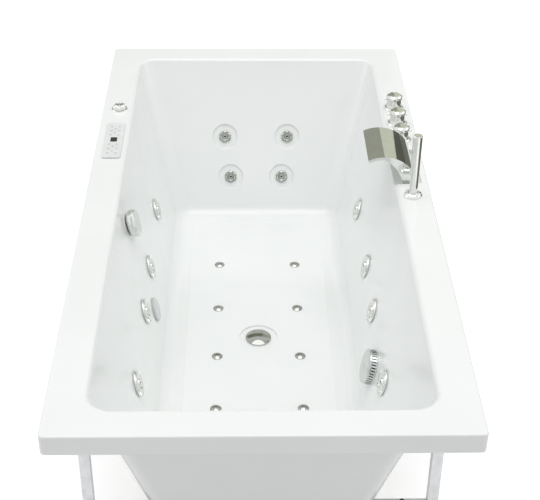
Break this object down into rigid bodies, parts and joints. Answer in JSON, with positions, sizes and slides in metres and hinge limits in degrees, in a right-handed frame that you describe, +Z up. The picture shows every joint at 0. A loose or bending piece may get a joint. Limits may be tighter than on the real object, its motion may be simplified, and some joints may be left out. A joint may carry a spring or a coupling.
{
  "type": "jetted bathtub",
  "caption": "Rectangular drop-in jetted bath with a sloped backrest, wall, back and floor jets, deck taps, waterfall spout, hand shower and keypad.",
  "frame": {"origin": "on the floor under the middle of the tub's outline", "axes": "+Z up, +Y towards the backrest end, +X towards the side that carries the taps"},
  "size_m": [0.915, 1.83, 0.781],
  "materials": {
    "white_acrylic": "gloss",
    "chrome": "polished",
    "yellow_brass": "satin",
    "copper_pipe": "satin",
    "panel_plastic": "satin",
    "display_black": "gloss",
    "jet_plastic": "satin",
    "lens_plastic": "frosted",
    "cover_chrome": "satin",
    "pipe_plastic": "smooth",
    "air_hose": "smooth",
    "black_plastic": "satin",
    "grey_plastic": "satin",
    "motor_paint": "satin",
    "stainless": "brushed",
    "zinc_steel": "galvanised",
    "plywood": "sawn"
  },
  "bodies": {
    "tub": {"air_control_body": "chrome", "air_pipes": "air_hose", "back_jet_bodies": "jet_plastic", "blower_housing": "black_plastic", "blower_pipes": "pipe_plastic", "clamp_nuts": "black_plastic", "control_box": "grey_plastic", "control_panel": "panel_plastic", "drain_flange": "chrome", "frame_fasteners": "stainless", "handset_holder": "chrome", "heater": "stainless", "injector_bodies": "yellow_brass", "injector_caps": "chrome", "light_body": "jet_plastic", "light_lens": "lens_plastic", "mixer_pipes": "copper_pipe", "overflow_body": "jet_plastic", "overflow_pipe": "pipe_plastic", "panel_display": "display_black", "plug_cable": "black_plastic", "pump_motor": "motor_paint", "pump_volute": "black_plastic", "side_jet_bodies": "jet_plastic", "suction_body": "jet_plastic", "suction_cover": "cover_chrome", "suction_pipes": "pipe_plastic", "support_boards": "plywood", "support_frame": "zinc_steel", "tub_shell": "white_acrylic", "valve_bodies": "yellow_brass", "valve_escutcheons": "chrome", "waste_body": "jet_plastic", "water_pipes": "pipe_plastic", "waterfall_spout": "chrome"},
    "hot_handle": {"hot_handle": "chrome"},
    "cold_handle": {"cold_handle": "chrome"},
    "diverter_handle": {"diverter_handle": "chrome"},
    "overflow_knob": {"overflow_knob": "chrome"},
    "drain_plug": {"drain_plug": "chrome"},
    "air_control_knob": {"air_control_knob": "chrome"},
    "handset": {"handset": "chrome"},
    "pump_rotor": {"pump_rotor": "stainless"},
    "blower_fan": {"blower_fan": "grey_plastic"},
    "side_jet_face_1": {"side_jet_face_1": "chrome"},
    "side_jet_face_2": {"side_jet_face_2": "chrome"},
    "side_jet_face_3": {"side_jet_face_3": "chrome"},
    "side_jet_face_4": {"side_jet_face_4": "chrome"},
    "side_jet_face_5": {"side_jet_face_5": "chrome"},
    "side_jet_face_6": {"side_jet_face_6": "chrome"},
    "side_jet_face_7": {"side_jet_face_7": "chrome"},
    "side_jet_face_8": {"side_jet_face_8": "chrome"},
    "back_jet_rotor_1": {"back_jet_rotor_1": "chrome"},
    "back_jet_rotor_2": {"back_jet_rotor_2": "chrome"},
    "back_jet_rotor_3": {"back_jet_rotor_3": "chrome"},
    "back_jet_rotor_4": {"back_jet_rotor_4": "chrome"},
    "foot_1": {"foot_1": "zinc_steel"},
    "foot_2": {"foot_2": "zinc_steel"},
    "foot_3": {"foot_3": "zinc_steel"},
    "foot_4": {"foot_4": "zinc_steel"}
  },
  "joints": [
    {"name": "hot_handle_turn", "type": "hinge", "parent": "tub", "child": "hot_handle", "pos_m": [0.408, 0.5, 0.6], "axis": [0, 0, 1], "range_deg": [0, 90]},
    {"name": "cold_handle_turn", "type": "hinge", "parent": "tub", "child": "cold_handle", "pos_m": [0.408, 0.404, 0.6], "axis": [0, 0, 1], "range_deg": [-90, 0]},
    {"name": "diverter_handle_turn", "type": "hinge", "parent": "tub", "child": "diverter_handle", "pos_m": [0.408, 0.308, 0.6], "axis": [0, 0, 1], "range_deg": [-45, 45]},
    {"name": "overflow_knob_turn", "type": "hinge", "parent": "tub", "child": "overflow_knob", "pos_m": [-0.34942, -0.02, 0.525], "axis": [0.9643, 0, 0.2646], "range_deg": [0, 90]},
    {"name": "drain_plug_lift", "type": "slide", "parent": "tub", "child": "drain_plug", "axis": [0, 0, 1], "range_m": [0, 0.01]},
    {"name": "air_control_turn", "type": "hinge", "parent": "tub", "child": "air_control_knob", "pos_m": [-0.408, 0.494, 0.6], "axis": [0, 0, 1], "range_deg": [0, 270]},
    {"name": "handset_lift", "type": "slide", "parent": "tub", "child": "handset", "axis": [0, 0, 1], "range_m": [0, 0.2]},
    {"name": "pump_shaft_spin", "type": "hinge", "parent": "tub", "child": "pump_rotor", "pos_m": [0, 0.8, 0.241], "axis": [1, 0, 0], "continuous": true},
    {"name": "blower_shaft_spin", "type": "hinge", "parent": "tub", "child": "blower_fan", "pos_m": [-0.3, 0.785, 0.15], "axis": [0, 0, 1], "continuous": true},
    {"name": "side_jet_1_turn", "type": "hinge", "parent": "tub", "child": "side_jet_face_1", "pos_m": [-0.30112, 0.33, 0.349], "axis": [0.9643, 0, 0.2646], "range_deg": [0, 90]},
    {"name": "side_jet_2_turn", "type": "hinge", "parent": "tub", "child": "side_jet_face_2", "pos_m": [-0.30112, 0.036, 0.349], "axis": [0.9643, 0, 0.2646], "range_deg": [0, 90]},
    {"name": "side_jet_3_turn", "type": "hinge", "parent": "tub", "child": "side_jet_face_3", "pos_m": [-0.30112, -0.168, 0.349], "axis": [0.9643, 0, 0.2646], "range_deg": [0, 90]},
    {"name": "side_jet_4_turn", "type": "hinge", "parent": "tub", "child": "side_jet_face_4", "pos_m": [-0.30112, -0.459, 0.349], "axis": [0.9643, 0, 0.2646], "range_deg": [0, 90]},
    {"name": "side_jet_5_turn", "type": "hinge", "parent": "tub", "child": "side_jet_face_5", "pos_m": [0.30112, 0.33, 0.349], "axis": [-0.9643, 0, 0.2646], "range_deg": [0, 90]},
    {"name": "side_jet_6_turn", "type": "hinge", "parent": "tub", "child": "side_jet_face_6", "pos_m": [0.30112, 0.036, 0.349], "axis": [-0.9643, 0, 0.2646], "range_deg": [0, 90]},
    {"name": "side_jet_7_turn", "type": "hinge", "parent": "tub", "child": "side_jet_face_7", "pos_m": [0.30112, -0.168, 0.349], "axis": [-0.9643, 0, 0.2646], "range_deg": [0, 90]},
    {"name": "side_jet_8_turn", "type": "hinge", "parent": "tub", "child": "side_jet_face_8", "pos_m": [0.30112, -0.459, 0.349], "axis": [-0.9643, 0, 0.2646], "range_deg": [0, 90]},
    {"name": "back_jet_1_spin", "type": "hinge", "parent": "tub", "child": "back_jet_rotor_1", "pos_m": [-0.1, 0.71536, 0.38255], "axis": [0, -0.8715, 0.4905], "continuous": true},
    {"name": "back_jet_2_spin", "type": "hinge", "parent": "tub", "child": "back_jet_rotor_2", "pos_m": [0.1, 0.71536, 0.38255], "axis": [0, -0.8715, 0.4905], "continuous": true},
    {"name": "back_jet_3_spin", "type": "hinge", "parent": "tub", "child": "back_jet_rotor_3", "pos_m": [-0.082, 0.65204, 0.27005], "axis": [0, -0.8715, 0.4905], "continuous": true},
    {"name": "back_jet_4_spin", "type": "hinge", "parent": "tub", "child": "back_jet_rotor_4", "pos_m": [0.082, 0.65204, 0.27005], "axis": [0, -0.8715, 0.4905], "continuous": true},
    {"name": "foot_1_screw", "type": "slide", "parent": "tub", "child": "foot_1", "axis": [0, 0, -1], "range_m": [0, 0.02]},
    {"name": "foot_2_screw", "type": "slide", "parent": "tub", "child": "foot_2", "axis": [0, 0, -1], "range_m": [0, 0.02]},
    {"name": "foot_3_screw", "type": "slide", "parent": "tub", "child": "foot_3", "axis": [0, 0, -1], "range_m": [0, 0.02]},
    {"name": "foot_4_screw", "type": "slide", "parent": "tub", "child": "foot_4", "axis": [0, 0, -1], "range_m": [0, 0.02]}
  ],
  "couplings": [
    {"joint": "drain_plug_lift", "follows": "overflow_knob_turn", "m_per_rad": 0.006366}
  ]
}
